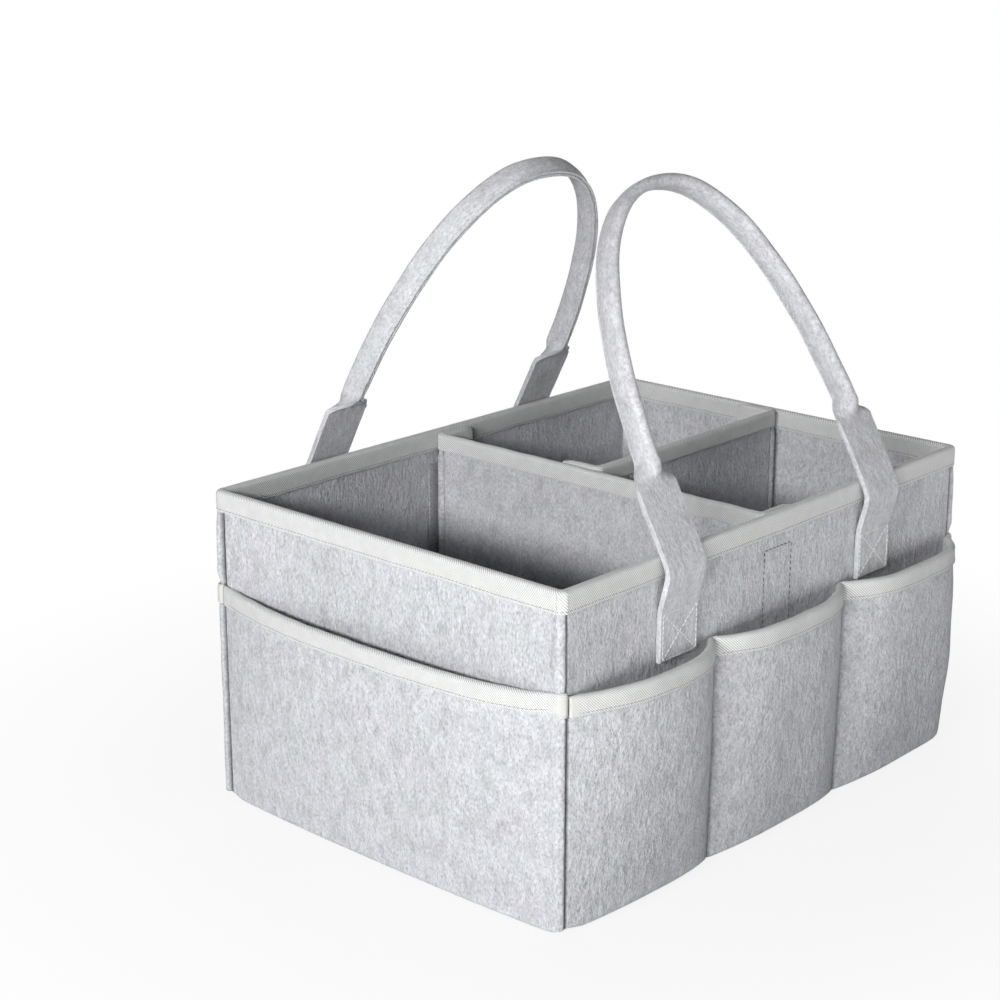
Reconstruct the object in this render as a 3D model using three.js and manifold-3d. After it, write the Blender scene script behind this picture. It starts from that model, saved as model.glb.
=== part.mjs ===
// A felt caddy: a sewn box with outside pockets, two lift-out dividers and two strap handles.
// Millimetres, +Z up. The origin is the middle of the underside, +X runs along the long side
// and -Y is the front.

import * as THREE from 'three';
import { mergeVertices } from 'three/addons/utils/BufferGeometryUtils.js';
import Module from 'manifold-3d';

const wasm = await Module();
wasm.setup();

// Box
const BODY_LENGTH = 350;
const BODY_WIDTH = 250;
const BODY_HEIGHT = 180;
const FELT = 3; // thickness of the wall, base, pocket and divider felt
const CLEARANCE = 0.3; // air between pieces that are sewn or pressed together

// Base
const BOARD = 2.5; // thickness of the stiffener
const BOARD_MARGIN = 4; // from the edge of the base panel to the edge of the board

// Binding tape, folded over an edge
const TAPE = 0.9;
const RIM_TAPE_DEPTH = 12;
const POCKET_TAPE_DEPTH = 10;
const DIVIDER_TAPE_DEPTH = 10;

// Pockets: a felt strip round the foot of each wall, bowed out between its seams
const POCKET_DROP = 54; // from the rim down to the pocket mouths
const LONG_SIDE_POCKETS = 3;
const END_POCKETS = 1;
const LONG_POCKET_BULGE = 12.5; // at the mouth, midway between two seams
const END_POCKET_BULGE = 10.5;
const POCKET_FOOT_BULGE = 4.5; // at the foot
const BULGE_POWER = 2.4; // 2 is a parabola, more is fuller towards the seams
const FOOT_EASE = 2; // how quickly the bulge grows from the foot
const FOOT_ROLL = 2; // the sheet's lower edge is rolled in by this much
const LONG_POCKET_COLUMNS = 10;
const END_POCKET_COLUMNS = 16;
const POCKET_ROWS = 3;

// Handles: one felt strap each. Its ends are sewn flat to the wall, and the grip between them is
// the strap folded double along its middle line, with both raw edges on the inner side.
const STRAP = 3;
const STRAP_WIDTH = 28;
const HANDLE_SPAN = 176; // between the middle lines of the two legs
const HANDLE_RISE = 185.6; // from the fold at the rim to the middle of the grip at its top
const HANDLE_LEAN = THREE.MathUtils.degToRad(28);
const HANDLE_SWING_IN = THREE.MathUtils.degToRad(12); // further inward than the lean
const SWING_MARGIN = THREE.MathUtils.degToRad(2);
const RIM_CLEARANCE = 0.5; // from the rim binding to the strap that leans over it
const TAB_TUCK = 1; // the tab ends this far below the pocket mouth
const TAB_SEWN_HEIGHT = 25.5; // flat against the wall, held by a box-and-cross stitch
const TAB_KINK_DROP = 8; // from the rim down to the outermost bend of the tab
const ARCH_FOOT = 16; // the legs are straight from the fold at the rim up to here
const ARCH_POWER = 2.23; // 2 is an ellipse, more is fuller in the shoulders
const ARCH_STEPS = 26;
const FLAT_LEG = 34; // flat strap above the fold at the rim
const NECK = 14; // where the strap folds double
const NECK_STEPS = 5;
const GRIP_GAP = 0.7; // between the two layers of the grip
const CREASE_STEPS = 3; // facets on each half of the grip's folded edge

// Dividers: each a felt sheet with both ends folded the same way into a flange
const CROSS_DIVIDER_X = -6;
const LONG_DIVIDER_Y = 0;
const DIVIDER_DROP = 1; // from the rim down to the top of the dividers
const DIVIDER_FLOOR_GAP = 0.5;
const FLANGE = 27;

// Hook-and-loop strips that hold the divider flanges
const STRIP_BELOW_TAPE = 7.5; // from the binding tapes down to the top of a strip
const STRIP_ABOVE_FLOOR = 12;
const HOOK_WIDTH = 24;
const LOOP_WIDTH = 18;
const WALL_HOOK_X = -0.5; // middle of the strips on the long walls

// Sizes that follow from the above
const SKIN = CLEARANCE + TAPE; // what one layer of tape adds to a face
const INNER_LENGTH = BODY_LENGTH - 2 * FELT;
const INNER_WIDTH = BODY_WIDTH - 2 * FELT;
const WALL_TOP = BODY_HEIGHT - SKIN;
const FLOOR_TOP = 2 * FELT + BOARD;
const POCKET_TOP = BODY_HEIGHT - POCKET_DROP;
const PANEL_TOP = POCKET_TOP - SKIN;
const PANEL_STANDOFF = SKIN + CLEARANCE; // wall to panel at a seam, room for the folded tape
const DIVIDER_TOP = BODY_HEIGHT - DIVIDER_DROP;
const DIVIDER_FOOT = FLOOR_TOP + DIVIDER_FLOOR_GAP;
const FASTENING = 2 * SKIN + CLEARANCE; // hook strip, air and loop strip between two faces
const TAPES_FOOT = BODY_HEIGHT - Math.max(RIM_TAPE_DEPTH, DIVIDER_DROP + DIVIDER_TAPE_DEPTH);
const STRIP_TOP = TAPES_FOOT - STRIP_BELOW_TAPE;
const STRIP_FOOT = FLOOR_TOP + STRIP_ABOVE_FLOOR;
const CREASE = ((STRAP + GRIP_GAP) * Math.PI) / 4; // width of strap in each half of the folded edge

const FINISH = {
  felt: { color: 0xc6c7ca, roughness: 0.96, metalness: 0 },
  tape: { color: 0xcdd0cb, roughness: 0.85, metalness: 0 },
  strip: { color: 0xb4b5b8, roughness: 0.9, metalness: 0 },
  board: { color: 0xe4e2dc, roughness: 0.6, metalness: 0 },
};

function addPiece(group, name, geometry, finish) {
  const mesh = new THREE.Mesh(geometry, new THREE.MeshStandardMaterial(FINISH[finish]));
  mesh.name = name;
  group.add(mesh);
}

// Solid shapes

function block(low, high) {
  const size = high.map((value, axis) => value - low[axis]);
  const middle = high.map((value, axis) => (value + low[axis]) / 2);
  return new THREE.BoxGeometry(...size).translate(...middle);
}

function plate(length, width, foot, top) {
  return block([-length / 2, -width / 2, foot], [length / 2, width / 2, top]);
}

function prism(points, foot, top) {
  const options = { depth: top - foot, bevelEnabled: false };
  return new THREE.ExtrudeGeometry(new THREE.Shape(points), options).translate(0, 0, foot);
}

// Skin over a row of matching rings, closed at both ends. The section is one ring seen flat,
// anticlockwise, with the row going towards the viewer.
function loft(rings, section) {
  const count = section.length;
  const positions = rings.flat().flatMap((point) => [point.x, point.y, point.z]);
  const cap = THREE.ShapeUtils.triangulateShape(section, []);
  const last = (rings.length - 1) * count;
  const faces = [];
  for (const [a, b, c] of cap) {
    faces.push(a, c, b);
    faces.push(last + a, last + b, last + c);
  }
  for (let ring = 0; ring < rings.length - 1; ring += 1) {
    for (let side = 0; side < count; side += 1) {
      const here = ring * count + side;
      const next = ring * count + ((side + 1) % count);
      faces.push(here, next, next + count);
      faces.push(here, next + count, here + count);
    }
  }
  const geometry = new THREE.BufferGeometry();
  geometry.setAttribute('position', new THREE.Float32BufferAttribute(positions, 3));
  geometry.setIndex(faces);
  return geometry;
}

function toSolid(geometry) {
  const bare = geometry.clone();
  bare.deleteAttribute('normal');
  bare.deleteAttribute('uv');
  const merged = mergeVertices(bare);
  const vertProperties = new Float32Array(merged.attributes.position.array);
  const triVerts = new Uint32Array(merged.index.array);
  return new wasm.Manifold(new wasm.Mesh({ numProp: 3, vertProperties, triVerts }));
}

function toGeometry(solid) {
  const mesh = solid.getMesh();
  const geometry = new THREE.BufferGeometry();
  geometry.setAttribute('position', new THREE.BufferAttribute(mesh.vertProperties, 3));
  geometry.setIndex(new THREE.BufferAttribute(mesh.triVerts, 1));
  return geometry;
}

function cut(body, ...tools) {
  return toGeometry(tools.reduce((solid, tool) => solid.subtract(toSolid(tool)), toSolid(body)));
}

// Box

function rimBinding() {
  const foot = BODY_HEIGHT - RIM_TAPE_DEPTH;
  const cutFoot = foot - TAPE;
  const outside = plate(BODY_LENGTH + 2 * SKIN, BODY_WIDTH + 2 * SKIN, foot, BODY_HEIGHT);
  const mouth = plate(INNER_LENGTH - 2 * SKIN, INNER_WIDTH - 2 * SKIN, cutFoot, BODY_HEIGHT + TAPE);
  const channelTop = BODY_HEIGHT - TAPE;
  const channelOuter = plate(
    BODY_LENGTH + 2 * CLEARANCE, BODY_WIDTH + 2 * CLEARANCE, cutFoot, channelTop);
  const channelInner = plate(
    INNER_LENGTH - 2 * CLEARANCE, INNER_WIDTH - 2 * CLEARANCE, cutFoot - TAPE, BODY_HEIGHT);
  return cut(outside, mouth, cut(channelOuter, channelInner));
}

function addBox(group) {
  const halfLength = BODY_LENGTH / 2;
  const innerX = INNER_LENGTH / 2;
  const innerY = INNER_WIDTH / 2;
  const halfWidth = BODY_WIDTH / 2;
  const floorLength = INNER_LENGTH - 2 * CLEARANCE;
  const floorWidth = INNER_WIDTH - 2 * CLEARANCE;
  const boardLength = floorLength - 2 * BOARD_MARGIN;
  const boardWidth = floorWidth - 2 * BOARD_MARGIN;
  addPiece(group, 'base_panel', plate(floorLength, floorWidth, 0, FELT), 'felt');
  addPiece(group, 'base_board', plate(boardLength, boardWidth, FELT, FELT + BOARD), 'board');
  addPiece(group, 'floor_lining', plate(floorLength, floorWidth, FELT + BOARD, FLOOR_TOP), 'felt');
  const walls = [
    ['front_wall', [-halfLength, -halfWidth], [halfLength, -innerY]],
    ['back_wall', [-halfLength, innerY], [halfLength, halfWidth]],
    ['left_end_wall', [-halfLength, -innerY], [-innerX, innerY]],
    ['right_end_wall', [innerX, -innerY], [halfLength, innerY]],
  ];
  for (const [name, low, high] of walls) {
    addPiece(group, name, block([...low, 0], [...high, WALL_TOP]), 'felt');
  }
  addPiece(group, 'rim_binding', rimBinding(), 'tape');
}

// Pockets, in a frame where the wall's outer face is the plane y = -wallFace

// How far the panel bows out at a place along the wall and a height
function bulgeAt(along, height, wall) {
  const share = ((along / wall.length + 0.5) * wall.pockets) % 1;
  const across = 1 - Math.abs(2 * share - 1) ** BULGE_POWER;
  const sag = (1 - height / POCKET_TOP) ** FOOT_EASE;
  return across * (wall.bulge - (wall.bulge - POCKET_FOOT_BULGE) * sag);
}

// A section carried along the bowed wall. Each of its points is outward from the wall's face by
// a fixed part and, where it belongs to the bowed sheet, by the sheet's standoff and bulge there.
function alongPocket(section, wall) {
  const steps = wall.pockets * wall.columns;
  const rings = [];
  for (let step = 0; step <= steps; step += 1) {
    const along = (step / steps - 0.5) * wall.length;
    rings.push(section.map((point) => {
      const bow = point.bowed ? PANEL_STANDOFF + bulgeAt(along, point.height, wall) : 0;
      return new THREE.Vector3(along, -(wall.face + bow + point.outward), point.height);
    }));
  }
  const seenFromEnd = section.map((point) => {
    const bow = point.bowed ? PANEL_STANDOFF : 0;
    return new THREE.Vector2(-bow - point.outward, point.height);
  });
  return loft(rings, seenFromEnd);
}

function onSheet(outward, height) {
  return { outward, height, bowed: true };
}

function onWall(outward, height) {
  return { outward, height, bowed: false };
}

// The sheet, with its foot turned in to the wall to close the pocket below
function pocketPanel(wall) {
  const heights = [];
  for (let row = 0; row <= POCKET_ROWS; row += 1) {
    heights.push(FELT + (row / POCKET_ROWS) * (PANEL_TOP - FELT));
  }
  const inner = heights.map((height) => onSheet(0, height));
  const outer = heights.map((height) => onSheet(FELT, height)).reverse();
  const foot = [onSheet(FELT - FOOT_ROLL, 0), onWall(CLEARANCE, 0), onWall(CLEARANCE, FELT)];
  return alongPocket([...inner, ...outer, ...foot], wall);
}

function pocketBinding(wall) {
  const foot = POCKET_TOP - POCKET_TAPE_DEPTH;
  const foldTop = POCKET_TOP - TAPE;
  const section = [
    onSheet(FELT + CLEARANCE, foot),
    onSheet(FELT + CLEARANCE, foldTop),
    onSheet(-CLEARANCE, foldTop),
    onSheet(-CLEARANCE, foot),
    onSheet(-SKIN, foot),
    onSheet(-SKIN, POCKET_TOP),
    onSheet(FELT + SKIN, POCKET_TOP),
    onSheet(FELT + SKIN, foot),
  ];
  return alongPocket(section, wall);
}

function addPockets(group) {
  const longSide = {
    length: BODY_LENGTH,
    pockets: LONG_SIDE_POCKETS,
    columns: LONG_POCKET_COLUMNS,
    bulge: LONG_POCKET_BULGE,
  };
  const end = {
    length: BODY_WIDTH,
    pockets: END_POCKETS,
    columns: END_POCKET_COLUMNS,
    bulge: END_POCKET_BULGE,
  };
  const walls = [
    { name: 'front', turn: 0, face: BODY_WIDTH / 2, ...longSide },
    { name: 'right_end', turn: Math.PI / 2, face: BODY_LENGTH / 2, ...end },
    { name: 'back', turn: Math.PI, face: BODY_WIDTH / 2, ...longSide },
    { name: 'left_end', turn: -Math.PI / 2, face: BODY_LENGTH / 2, ...end },
  ];
  for (const wall of walls) {
    const side = new THREE.Group();
    side.rotation.z = wall.turn;
    addPiece(side, `${wall.name}_pocket`, pocketPanel(wall), 'felt');
    addPiece(side, `${wall.name}_pocket_binding`, pocketBinding(wall), 'tape');
    group.add(side);
  }
}

// Handles. The tab's outline is drawn as [outward from the wall's face, height].

const leanUp = new THREE.Vector2(-Math.sin(HANDLE_LEAN), Math.cos(HANDLE_LEAN));
const leanOut = new THREE.Vector2(Math.cos(HANDLE_LEAN), Math.sin(HANDLE_LEAN));
const rimEdge = new THREE.Vector2(SKIN, BODY_HEIGHT);
const strapInner = rimEdge.clone().addScaledVector(leanOut, RIM_CLEARANCE);
const foldLine = strapInner.clone().addScaledVector(leanOut, STRAP); // the handle turns about this

function rightHandNormal(from, to) {
  const along = to.clone().sub(from).normalize();
  return new THREE.Vector2(along.y, -along.x);
}

// The corner moved outward so that both of its sides move by the strap's thickness
function offsetCorner(before, corner, after) {
  const first = rightHandNormal(before, corner);
  const second = rightHandNormal(corner, after);
  const reach = STRAP / (1 + first.dot(second));
  return corner.clone().addScaledVector(first.add(second), reach);
}

function sewnTab() {
  const foot = new THREE.Vector2(CLEARANCE, POCKET_TOP - TAB_TUCK);
  const sewnTop = new THREE.Vector2(CLEARANCE, foot.y + TAB_SEWN_HEIGHT);
  const kinkHeight = BODY_HEIGHT - TAB_KINK_DROP;
  const kinkRun = (strapInner.y - kinkHeight) / leanUp.y;
  const kink = strapInner.clone().addScaledVector(leanUp, -kinkRun);
  const topOuter = foldLine.clone().addScaledVector(leanUp, -CLEARANCE);
  const bevel = STRAP * Math.tan(HANDLE_SWING_IN + SWING_MARGIN);
  const topInner = strapInner.clone().addScaledVector(leanUp, -CLEARANCE - bevel);
  const outline = [
    new THREE.Vector2(foot.x + STRAP, foot.y),
    offsetCorner(foot, sewnTop, kink),
    offsetCorner(sewnTop, kink, topInner),
    topOuter,
    topInner,
    kink,
    sewnTop,
    foot,
  ];
  const across = new THREE.Matrix4().makeBasis(
    new THREE.Vector3(0, -1, 0), new THREE.Vector3(0, 0, 1), new THREE.Vector3(-1, 0, 0));
  return prism(outline, -STRAP_WIDTH / 2, STRAP_WIDTH / 2).applyMatrix4(across);
}

// One place along the handle, in the plane of its arch: x across, z up from the fold at the rim,
// with the direction there. The path runs up the right leg, over the top and down the left leg.
function archStation(angle) {
  const power = 2 / ARCH_POWER;
  const radiusX = HANDLE_SPAN / 2;
  const radiusZ = HANDLE_RISE - ARCH_FOOT;
  const side = Math.sign(Math.cos(angle));
  const across = Math.abs(Math.cos(angle));
  const up = Math.sin(angle);
  const along = new THREE.Vector2(-radiusX * up ** (2 - power), radiusZ * side * across ** (2 - power));
  along.normalize();
  return {
    x: radiusX * side * across ** power,
    z: ARCH_FOOT + radiusZ * up ** power,
    dx: along.x,
    dz: along.y,
  };
}

function angleAt(height) {
  const share = Math.max(height - ARCH_FOOT, 0) / (HANDLE_RISE - ARCH_FOOT);
  return Math.asin(share ** (ARCH_POWER / 2));
}

function mirrored(station) {
  return { ...station, x: -station.x, dz: -station.dz };
}

// Places up the right leg, each with the angle by which both halves of the strap are turned in
function legStations() {
  const rows = [[0, 0]];
  for (let step = 0; step <= NECK_STEPS; step += 1) {
    const share = step / NECK_STEPS;
    const turn = (THREE.MathUtils.smoothstep(share, 0, 1) * Math.PI) / 2;
    rows.push([FLAT_LEG + share * NECK, turn]);
  }
  return rows.map(([z, turn]) => ({ ...archStation(angleAt(z)), z, turn }));
}

function handleStations() {
  const leg = legStations();
  const start = angleAt(FLAT_LEG + NECK);
  const arch = [];
  for (let step = 1; step < ARCH_STEPS; step += 1) {
    const angle = start + (step / ARCH_STEPS) * (Math.PI - 2 * start);
    arch.push({ ...archStation(angle), turn: Math.PI / 2 });
  }
  return [...leg, ...arch, ...leg.map(mirrored).reverse()];
}

// A point of the strap's section: how far it lies from the middle line along the strap and from
// the middle of its thickness, once both halves are turned in by an angle
function strapPoint(across, through, turn) {
  const side = Math.sign(across);
  const bent = Math.min(Math.abs(across), CREASE);
  const straight = Math.abs(across) - bent;
  const angle = (turn * bent) / CREASE;
  const chord = angle > 0 ? (2 * bent * Math.sin(angle / 2)) / angle : bent;
  const x = chord * Math.cos(angle / 2) + straight * Math.cos(angle) + through * Math.sin(angle);
  const y = -chord * Math.sin(angle / 2) - straight * Math.sin(angle) + through * Math.cos(angle);
  return new THREE.Vector2(side * x, y);
}

// The whole section, with the middle of its depth on the middle of the flat strap
function strapSection(turn) {
  const half = [];
  for (let step = 0; step <= CREASE_STEPS; step += 1) {
    half.push((step / CREASE_STEPS) * CREASE);
  }
  half.push(STRAP_WIDTH / 2);
  const across = [...half.toReversed(), ...half.slice(1).map((value) => -value)];
  const outer = across.map((value) => strapPoint(value, STRAP / 2, turn));
  const inner = across.map((value) => strapPoint(value, -STRAP / 2, turn));
  const section = [...outer, ...inner.reverse()];
  const depths = section.map((point) => point.y);
  const middle = (Math.min(...depths) + Math.max(...depths)) / 2;
  return section.map((point) => new THREE.Vector2(point.x, point.y - middle));
}

// A section of [towards the middle of the arch, outward through its plane] set at one station
function ringAt(station, section) {
  return section.map((point) => new THREE.Vector3(
    station.x - station.dz * point.x, STRAP / 2 - point.y, station.z + station.dx * point.x));
}

function handleStrap() {
  const rings = handleStations().map((station) => ringAt(station, strapSection(station.turn)));
  return loft(rings, strapSection(0));
}

function addHandles(group) {
  for (const [name, turn] of [['front', 0], ['back', Math.PI]]) {
    const side = new THREE.Group();
    side.rotation.z = turn;
    for (const [tab, sign] of [['left', -1], ['right', 1]]) {
      const seenFromFront = sign * Math.cos(turn);
      const geometry = sewnTab().translate((seenFromFront * HANDLE_SPAN) / 2, -BODY_WIDTH / 2, 0);
      addPiece(side, `${name}_${tab}_tab`, geometry, 'felt');
    }
    const arch = new THREE.Group();
    arch.position.set(0, -BODY_WIDTH / 2 - foldLine.x, foldLine.y);
    arch.rotation.x = -HANDLE_LEAN;
    addPiece(arch, `${name}_handle_strap`, handleStrap(), 'felt');
    side.add(arch);
    group.add(side);
  }
}

// Dividers, drawn with the sheet along y and both flanges towards +x

function dividerPlan(halfLength, grow) {
  const back = -FELT / 2 - grow;
  const face = FELT / 2 + grow;
  const tip = FLANGE - FELT / 2 + grow;
  const end = halfLength + grow;
  const flangeFace = halfLength - FELT - grow;
  const corners = [
    [back, -end], [tip, -end], [tip, -flangeFace], [face, -flangeFace],
    [face, flangeFace], [tip, flangeFace], [tip, end], [back, end],
  ];
  return corners.map(([x, y]) => new THREE.Vector2(x, y));
}

function dividerBinding(halfLength) {
  const foot = DIVIDER_TOP - DIVIDER_TAPE_DEPTH;
  const outside = prism(dividerPlan(halfLength, SKIN), foot, DIVIDER_TOP);
  const channel = prism(dividerPlan(halfLength, CLEARANCE), foot - TAPE, DIVIDER_TOP - TAPE);
  return cut(outside, channel);
}

// A strip on a face that looks along +y: the face's y, then the middle and the width along x
function strip(face, middle, width) {
  return block([middle - width / 2, face, STRIP_FOOT], [middle + width / 2, face + SKIN, STRIP_TOP]);
}

function addDivider(group, name, place, halfLength, endNames) {
  const divider = new THREE.Group();
  divider.position.set(place.x, place.y, 0);
  divider.rotation.z = place.turn;
  const sheet = prism(dividerPlan(halfLength, 0), DIVIDER_FOOT, DIVIDER_TOP - SKIN);
  addPiece(divider, name, sheet, 'felt');
  addPiece(divider, `${name}_binding`, dividerBinding(halfLength), 'tape');
  const middle = (FLANGE - FELT) / 2;
  addPiece(divider, `${name}_${endNames[0]}_loop_strip`,
    strip(-halfLength - SKIN, middle, LOOP_WIDTH), 'strip');
  addPiece(divider, `${name}_${endNames[1]}_loop_strip`,
    strip(halfLength, middle, LOOP_WIDTH), 'strip');
  group.add(divider);
}

function addDividers(group) {
  const crossHalf = INNER_WIDTH / 2 - FASTENING;
  const longLeft = CROSS_DIVIDER_X + FELT / 2 + FASTENING;
  const longRight = INNER_LENGTH / 2 - FASTENING;
  const crossPlace = { x: CROSS_DIVIDER_X, y: 0, turn: 0 };
  const longPlace = { x: (longLeft + longRight) / 2, y: LONG_DIVIDER_Y, turn: Math.PI / 2 };
  addDivider(group, 'cross_divider', crossPlace, crossHalf, ['front', 'back']);
  addDivider(group, 'long_divider', longPlace, (longRight - longLeft) / 2, ['right', 'left']);
}

function addHookStrips(group) {
  const longFlangeMiddle = LONG_DIVIDER_Y + (FLANGE - FELT) / 2;
  const frontStrip = strip(-INNER_WIDTH / 2, WALL_HOOK_X, HOOK_WIDTH);
  const backStrip = strip(INNER_WIDTH / 2 - SKIN, WALL_HOOK_X, HOOK_WIDTH);
  const turned = (face) => strip(face, longFlangeMiddle, HOOK_WIDTH).rotateZ(Math.PI / 2);
  addPiece(group, 'front_wall_hook_strip', frontStrip, 'strip');
  addPiece(group, 'back_wall_hook_strip', backStrip, 'strip');
  addPiece(group, 'right_wall_hook_strip', turned(-INNER_LENGTH / 2), 'strip');
  addPiece(group, 'cross_divider_hook_strip', turned(-CROSS_DIVIDER_X - FELT / 2 - SKIN), 'strip');
}

const caddy = new THREE.Group();
addBox(caddy);
addPockets(caddy);
addHandles(caddy);
addDividers(caddy);
addHookStrips(caddy);

export default caddy;
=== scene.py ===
"""Looks of the felt caddy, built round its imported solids.

Sizes are in millimetres, in the frame of the part, and turn into metres where a mesh is made.
"""

import math

import bpy
import numpy as np
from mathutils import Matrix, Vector


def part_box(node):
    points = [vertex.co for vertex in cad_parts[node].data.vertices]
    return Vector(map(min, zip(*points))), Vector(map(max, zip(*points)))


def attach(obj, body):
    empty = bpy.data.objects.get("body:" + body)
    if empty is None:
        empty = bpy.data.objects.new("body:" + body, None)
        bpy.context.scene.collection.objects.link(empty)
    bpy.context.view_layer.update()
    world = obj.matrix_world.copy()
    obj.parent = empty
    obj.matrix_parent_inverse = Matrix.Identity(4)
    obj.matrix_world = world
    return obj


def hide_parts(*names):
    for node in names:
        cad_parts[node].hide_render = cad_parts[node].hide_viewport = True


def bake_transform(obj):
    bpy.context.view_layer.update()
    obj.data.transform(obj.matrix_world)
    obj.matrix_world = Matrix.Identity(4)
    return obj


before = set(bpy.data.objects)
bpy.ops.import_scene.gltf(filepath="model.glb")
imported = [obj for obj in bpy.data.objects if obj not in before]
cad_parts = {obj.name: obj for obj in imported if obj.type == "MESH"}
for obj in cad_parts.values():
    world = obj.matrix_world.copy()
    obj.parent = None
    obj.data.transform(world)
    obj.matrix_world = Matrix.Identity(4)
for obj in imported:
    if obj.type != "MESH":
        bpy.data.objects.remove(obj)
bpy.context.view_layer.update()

MM = 0.001
METRE = 1000.0

# Sizes of the box and its cloth
HALF_X = 175.0
HALF_Y = 125.0
FELT = 3.0
INSET = 0.1  # how far the drawn felt stays inside its solid
CLOTH = FELT - INSET
TAPE = 0.9
TAPE_OFF = 0.75  # from the felt to the middle of a folded tape
BASE_TOP = 2.6
WALL_TOP = 178.6
RIM_TOP = 180.0
MOUTH = 126.0  # top of the pockets


# Sheets

EDGE_TURN = np.radians([0.0, 25.0, 50.0, 70.0])


def edged(start, end, count, rounding, extra=(), end_rounding=None):
    """Places from start to end, with the share of the thickness at each: both edges run out round."""
    end_rounding = end_rounding or rounding
    low, high = start + rounding, end - end_rounding
    inside = [x for x in extra if low < x < high]
    body = np.unique(np.concatenate([np.linspace(low, high, count), inside]))
    body = body[np.concatenate([[True], np.diff(body) > 1e-6])]
    first = start + rounding * (1 - np.cos(EDGE_TURN))
    last = (end - end_rounding * (1 - np.cos(EDGE_TURN)))[::-1]
    share = np.sin(EDGE_TURN)
    return np.concatenate([first, body, last]), np.concatenate([share, np.ones(len(body)), share[::-1]])


# Waves of the cloth: the seed of the first sheet, their length and their height
WAVES = {
    "wall": (10, 70, 0.55),
    "corner": (23, 26, 0.25),
    "base": (31, 90, 0.12),
    "rim": (41, 60, 0.35),
    "rim_fine": (42, 17, 0.2),
    "pocket": (50, 55, 0.7),
    "pocket_tape": (60, 24, 0.3),
    "grip": (70, 40, 0.35),
    "neck": (75, 11, 0.8),
    "neck_side": (77, 13, 0.7),
    "divider": (80, 90, 0.9),
    "divider_tape": (85, 24, 0.25),
    "strip": (90, 30, 0.08),
}


def ripple(a, b, kind, number=0):
    """Smooth shallow waves over a sheet, the same each run."""
    seed, size, height = WAVES[kind]
    rng = np.random.default_rng(seed + number)
    total = np.zeros(np.broadcast(a, b).shape)
    for _ in range(5):
        angle, phase = rng.uniform(0, 2 * math.pi, 2)
        length = size * rng.uniform(0.6, 1.6)
        total = total + np.sin(2 * math.pi * (a * math.cos(angle) + b * math.sin(angle)) / length + phase)
    return total * height / 5


def bell(x, width):
    """One at x = 0, and close to nothing from twice the width on."""
    return np.exp(-((x / width) ** 2))


def unit(v):
    return v / np.maximum(np.linalg.norm(v, axis=-1, keepdims=True), 1e-12)


def run_lengths(points):
    """The length along a line of points, at each of them."""
    return np.concatenate([[0], np.cumsum(np.linalg.norm(np.diff(points, axis=0), axis=1))])


class Sheet:
    """A closed sheet of cloth over a grid of places along it and up it."""

    def __init__(self, name, place, along, up, thickness, outer=False, loop=False, grain=None, sewn=None):
        self.place = place
        self.thickness = thickness if callable(thickness) else lambda a, b: thickness + 0 * a
        (a, share_a), (b, share_b) = along, up
        grid = np.meshgrid(a, b, indexing="ij")
        points = place(*grid)
        if loop:
            da = np.roll(points, -1, 0) - np.roll(points, 1, 0)
        else:
            da = np.gradient(points, axis=0)
        half = unit(np.cross(da, np.gradient(points, axis=1))) * self.thickness(*grid)[..., None] / 2
        share = (share_a[:, None] * share_b[None, :])[..., None]
        middle = points - half if outer else points
        grain_spots = grain(*grid) if grain else grid
        # The sewn values: painted seam shade on felt, the pressed share of a turned end on tape.
        seam_shade_or_pressed = sewn(*grid) if sewn else None
        self.object = shell(name, middle + half * share, middle - half * share, grain_spots, loop, seam_shade_or_pressed)

    def on(self, a, b):
        """Points on the upper face of the sheet, with the normals there."""
        step = 0.05
        da = self.place(a + step, b) - self.place(a - step, b)
        db = self.place(a, b + step) - self.place(a, b - step)
        normal = unit(np.cross(da, db))
        return self.place(a, b) + normal * self.thickness(a, b)[..., None] / 2, normal


def shell(name, top, under, grain_spots, loop, seam_shade_or_pressed):
    """One closed mesh of a sheet's two faces, which meet where the sheet has run out."""
    depth = np.linalg.norm(top - under, axis=2)
    apart = depth >= 1e-6
    rows, columns = depth.shape
    upper = np.arange(rows * columns).reshape(rows, columns)
    lower = upper.copy()
    lower[apart] = rows * columns + np.arange(apart.sum())
    i = np.arange(rows if loop else rows - 1)[:, None]
    j = np.arange(columns - 1)[None, :]
    k = (i + 1) % rows

    def quads(index):
        corners = [index[i, j], index[k, j], index[k, j + 1], index[i, j + 1]]
        return np.stack(corners, -1).reshape(-1, 4)

    def both(over, below):
        return np.concatenate([over.reshape(-1, 3), below[apart]])

    faces = np.concatenate([quads(upper), quads(lower)[:, ::-1]])
    made = new_object(name, both(top, under), faces.tolist())
    grain = both(np.stack([*grain_spots, depth / 2], -1), np.stack([*grain_spots, -depth / 2], -1))
    offset = np.random.default_rng(len(name) * 7 + sum(map(ord, name))).uniform(-900, 900, 3)
    layer = made.data.attributes.new("grain", "FLOAT_VECTOR", "POINT")
    layer.data.foreach_set("vector", ((grain + offset) * MM).astype(np.float32).ravel())
    # Stored as the sewn attribute: painted seam shade on felt, the pressed share of a tape end on tape.
    if seam_shade_or_pressed is not None:
        layer = made.data.attributes.new("sewn", "FLOAT", "POINT")
        layer.data.foreach_set("value", np.concatenate([seam_shade_or_pressed.reshape(-1), seam_shade_or_pressed[apart]]).astype(np.float32))
    return made


def new_object(name, points, faces):
    mesh = bpy.data.meshes.new(name)
    mesh.from_pydata((points * MM).tolist(), [], faces)
    mesh.polygons.foreach_set("use_smooth", np.ones(len(mesh.polygons), bool))
    mesh.update()
    made = bpy.data.objects.new(name, mesh)
    bpy.context.scene.collection.objects.link(made)
    return made


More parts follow.
